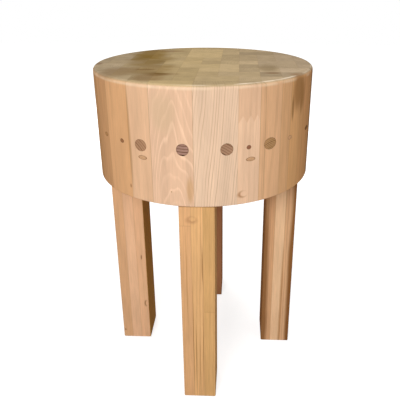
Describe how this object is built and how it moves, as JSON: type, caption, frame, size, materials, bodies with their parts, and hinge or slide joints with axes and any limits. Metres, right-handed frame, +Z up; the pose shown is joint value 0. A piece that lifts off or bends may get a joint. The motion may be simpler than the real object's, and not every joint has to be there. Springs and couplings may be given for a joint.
{
  "type": "round chopping block",
  "caption": "Round butcher's block of upright end-grain wood staves, clamped by hidden tie rods under wooden plugs, standing on square laminated wooden legs.",
  "frame": {"origin": "on the floor, under the middle of the block", "axes": "+Z up, -Y towards the front, where the row of plugs faces; +X to the right"},
  "size_m": [0.5, 0.5, 0.76],
  "materials": {
    "stave_wood": "sanded and oiled, satin",
    "leg_wood": "planed and oiled, satin",
    "plug_wood": "sanded end grain, satin",
    "dowel_wood": "sanded end grain, satin",
    "zinc_plated_steel": "bright zinc plate"
  },
  "bodies": {
    "root": {"stave_row_01": "stave_wood", "stave_row_02": "stave_wood", "stave_row_03": "stave_wood", "stave_row_04": "stave_wood", "stave_row_05": "stave_wood", "stave_row_06": "stave_wood", "stave_row_07": "stave_wood", "stave_row_08": "stave_wood", "stave_row_09": "stave_wood", "stave_row_10": "stave_wood", "stave_row_11": "stave_wood", "front_leg": "leg_wood", "right_leg": "leg_wood", "back_leg": "leg_wood", "left_leg": "leg_wood", "front_plugs": "plug_wood", "rear_plugs": "plug_wood", "row_dowels": "dowel_wood", "cross_dowel": "dowel_wood", "tie_rods": "zinc_plated_steel", "front_washers": "zinc_plated_steel", "rear_washers": "zinc_plated_steel", "front_nuts": "zinc_plated_steel", "rear_nuts": "zinc_plated_steel", "leg_screws": "zinc_plated_steel"}
  },
  "joints": []
}
